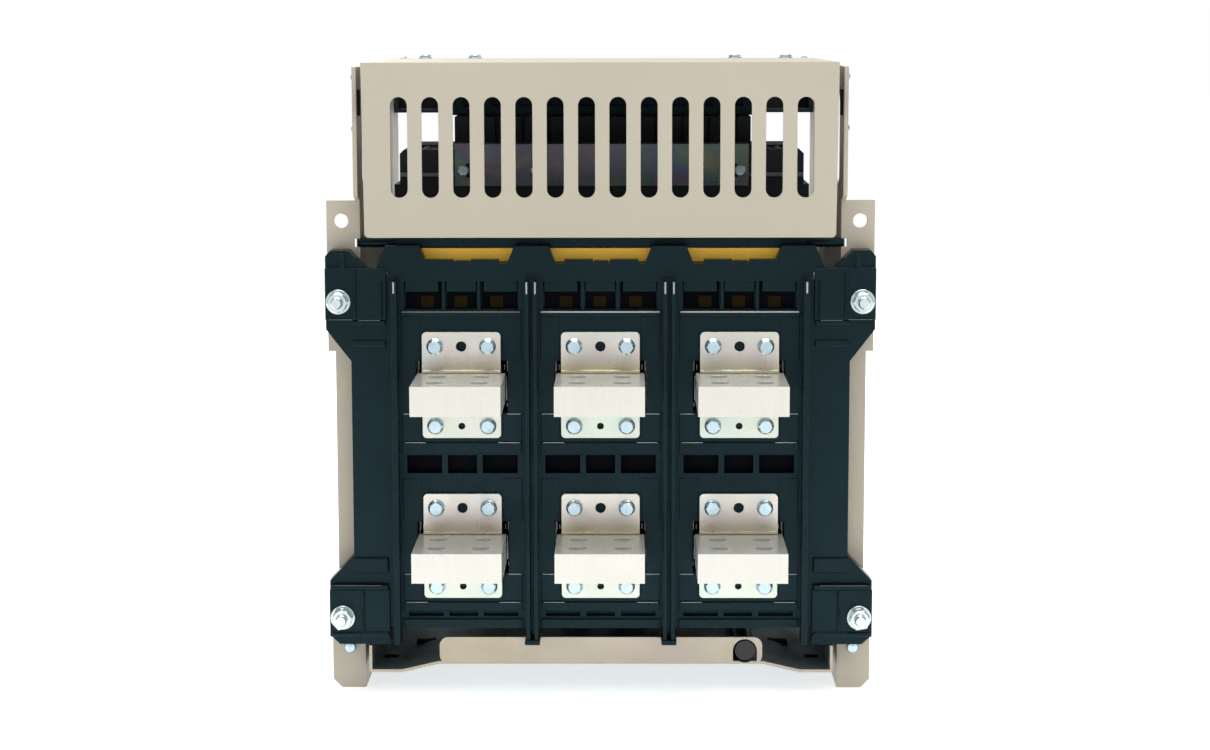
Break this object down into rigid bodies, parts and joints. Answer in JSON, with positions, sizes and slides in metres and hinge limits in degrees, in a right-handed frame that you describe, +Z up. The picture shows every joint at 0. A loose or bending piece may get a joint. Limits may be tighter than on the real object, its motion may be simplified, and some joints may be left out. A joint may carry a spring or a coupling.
{
  "type": "air circuit breaker",
  "caption": "Withdrawable air circuit breaker in its steel cradle, with horizontal rear terminals, shutters, racking screw and vented rear shield.",
  "frame": {"origin": "centre of the bounding box's bottom face, on the plane that the feet stand on", "axes": "+Z up, -Y towards the operator's front panel, +Y towards the rear terminals, +X to the operator's right"},
  "size_m": [0.376, 0.421, 0.4388],
  "materials": {
    "cradle_paint": "satin powder coat",
    "tray_zinc": "galvanised",
    "base_black": "moulded, satin",
    "terminal_tin": "tin plated copper, ground",
    "bracket_zinc": "zinc plated, passivated",
    "contact_silver": "silver plated copper",
    "crossbar_grey": "satin",
    "shutter_grey": "matte",
    "crank_black": "matte",
    "racking_steel": "zinc plated",
    "indicator_green": "satin",
    "housing_black": "moulded, matte",
    "chute_amber": "fibre board",
    "clamp_chromate": "yellow chromate zinc",
    "cover_grey": "moulded, fine texture",
    "trip_grey": "moulded",
    "trip_cover_clear": "clear polycarbonate",
    "button_red": "satin",
    "flag_yellow": "satin"
  },
  "bodies": {
    "cradle": {"side_plate_right": "cradle_paint", "side_plate_left": "cradle_paint", "bottom_tray": "tray_zinc", "rear_base": "base_black", "vented_shield": "cradle_paint", "front_crossbar": "crossbar_grey", "secondary_socket": "base_black", "rear_cross_rod": "base_black", "crank_tube": "crank_black", "terminal_lower_left": "terminal_tin", "bracket_lower_left": "bracket_zinc", "jaw_lower_left": "contact_silver", "terminal_lower_centre": "terminal_tin", "bracket_lower_centre": "bracket_zinc", "jaw_lower_centre": "contact_silver", "terminal_lower_right": "terminal_tin", "bracket_lower_right": "bracket_zinc", "jaw_lower_right": "contact_silver", "terminal_upper_left": "terminal_tin", "bracket_upper_left": "bracket_zinc", "jaw_upper_left": "contact_silver", "terminal_upper_centre": "terminal_tin", "bracket_upper_centre": "bracket_zinc", "jaw_upper_centre": "contact_silver", "terminal_upper_right": "terminal_tin", "bracket_upper_right": "bracket_zinc", "jaw_upper_right": "contact_silver"},
    "rails": {"rail_right": "racking_steel", "rail_left": "racking_steel"},
    "breaker": {"breaker_housing": "housing_black", "arc_chute_left": "chute_amber", "arc_chute_centre": "chute_amber", "arc_chute_right": "chute_amber", "chute_clamp_bar": "clamp_chromate", "secondary_plug": "housing_black", "mechanism": "racking_steel", "front_cover": "cover_grey", "trip_unit": "trip_grey", "blade_lower_left": "terminal_tin", "blade_lower_centre": "terminal_tin", "blade_lower_right": "terminal_tin", "blade_upper_left": "terminal_tin", "blade_upper_centre": "terminal_tin", "blade_upper_right": "terminal_tin"},
    "lead_screw": {"lead_screw": "racking_steel"},
    "racking_yoke": {"racking_yoke": "racking_steel"},
    "position_indicator": {"position_indicator": "indicator_green"},
    "upper_shutter": {"upper_shutter": "shutter_grey"},
    "lower_shutter": {"lower_shutter": "shutter_grey"},
    "racking_crank": {"racking_crank": "racking_steel"},
    "main_shaft": {"main_shaft": "racking_steel"},
    "moving_contacts": {"moving_contacts": "contact_silver"},
    "charging_handle": {"charging_handle": "crank_black"},
    "on_button": {"on_button": "indicator_green"},
    "off_button": {"off_button": "button_red"},
    "reset_button": {"reset_button": "button_red"},
    "trip_cover": {"trip_cover": "trip_cover_clear"},
    "state_flag": {"state_flag": "button_red"},
    "charge_flag": {"charge_flag": "flag_yellow"}
  },
  "joints": [
    {"name": "rail_pull_out", "type": "slide", "parent": "cradle", "child": "rails", "axis": [0, -1, 0], "range_m": [0, 0.25]},
    {"name": "rack_travel", "type": "slide", "parent": "rails", "child": "breaker", "axis": [0, -1, 0], "range_m": [0, 0.07]},
    {"name": "lead_screw_turn", "type": "hinge", "parent": "cradle", "child": "lead_screw", "pos_m": [0, -0.07, 0.037], "axis": [0, -1, 0], "range_deg": [0, 5050]},
    {"name": "yoke_travel", "type": "slide", "parent": "cradle", "child": "racking_yoke", "axis": [0, -1, 0], "range_m": [0, 0.0705]},
    {"name": "indicator_travel", "type": "slide", "parent": "cradle", "child": "position_indicator", "axis": [-1, 0, 0], "range_m": [0, 0.0141]},
    {"name": "upper_shutter_travel", "type": "slide", "parent": "cradle", "child": "upper_shutter", "axis": [0, 0, -1], "range_m": [0, 0.0481]},
    {"name": "lower_shutter_travel", "type": "slide", "parent": "cradle", "child": "lower_shutter", "axis": [0, 0, 1], "range_m": [0, 0.0481]},
    {"name": "crank_pull_out", "type": "slide", "parent": "cradle", "child": "racking_crank", "axis": [0, -1, 0], "range_m": [0, 0.3]},
    {"name": "main_shaft_turn", "type": "hinge", "parent": "breaker", "child": "main_shaft", "pos_m": [0, -0.092, 0.15], "axis": [1, 0, 0], "range_deg": [0, 48]},
    {"name": "moving_contacts_turn", "type": "hinge", "parent": "breaker", "child": "moving_contacts", "pos_m": [0, -0.03, 0.12], "axis": [1, 0, 0], "range_deg": [0, 12.1]},
    {"name": "state_flag_travel", "type": "slide", "parent": "breaker", "child": "state_flag", "axis": [-1, 0, 0], "range_m": [0, 0.0141]},
    {"name": "charging_handle_pull", "type": "hinge", "parent": "breaker", "child": "charging_handle", "pos_m": [-0.091, -0.191, 0.16], "axis": [1, 0, 0], "range_deg": [0, 75], "stiffness_Nm_per_rad": 1, "springref_deg": -28.65},
    {"name": "charge_flag_travel", "type": "slide", "parent": "breaker", "child": "charge_flag", "axis": [-1, 0, 0], "range_m": [0, 0.0141]},
    {"name": "on_button_press", "type": "slide", "parent": "breaker", "child": "on_button", "axis": [0, 1, 0], "range_m": [0, 0.004], "stiffness_N_per_m": 1500, "springref_m": -0.001},
    {"name": "off_button_press", "type": "slide", "parent": "breaker", "child": "off_button", "axis": [0, 1, 0], "range_m": [0, 0.004], "stiffness_N_per_m": 1500, "springref_m": -0.001},
    {"name": "reset_button_press", "type": "slide", "parent": "breaker", "child": "reset_button", "axis": [0, 1, 0], "range_m": [0, 0.003], "stiffness_N_per_m": 1000, "springref_m": -0.001},
    {"name": "trip_cover_open", "type": "hinge", "parent": "breaker", "child": "trip_cover", "pos_m": [0.051, -0.1885, 0.191], "axis": [1, 0, 0], "range_deg": [0, 110]}
  ],
  "couplings": [
    {"joint": "lead_screw_turn", "follows": "rack_travel", "rad_per_m": 1256.6},
    {"joint": "yoke_travel", "follows": "rack_travel", "ratio": 1},
    {"joint": "indicator_travel", "follows": "rack_travel", "ratio": 0.2},
    {"joint": "upper_shutter_travel", "follows": "rack_travel", "ratio": 0.68571},
    {"joint": "lower_shutter_travel", "follows": "rack_travel", "ratio": 0.68571},
    {"joint": "moving_contacts_turn", "follows": "main_shaft_turn", "ratio": 0.25},
    {"joint": "state_flag_travel", "follows": "main_shaft_turn", "m_per_rad": 0.016711},
    {"joint": "charge_flag_travel", "follows": "charging_handle_pull", "m_per_rad": 0.010695}
  ]
}
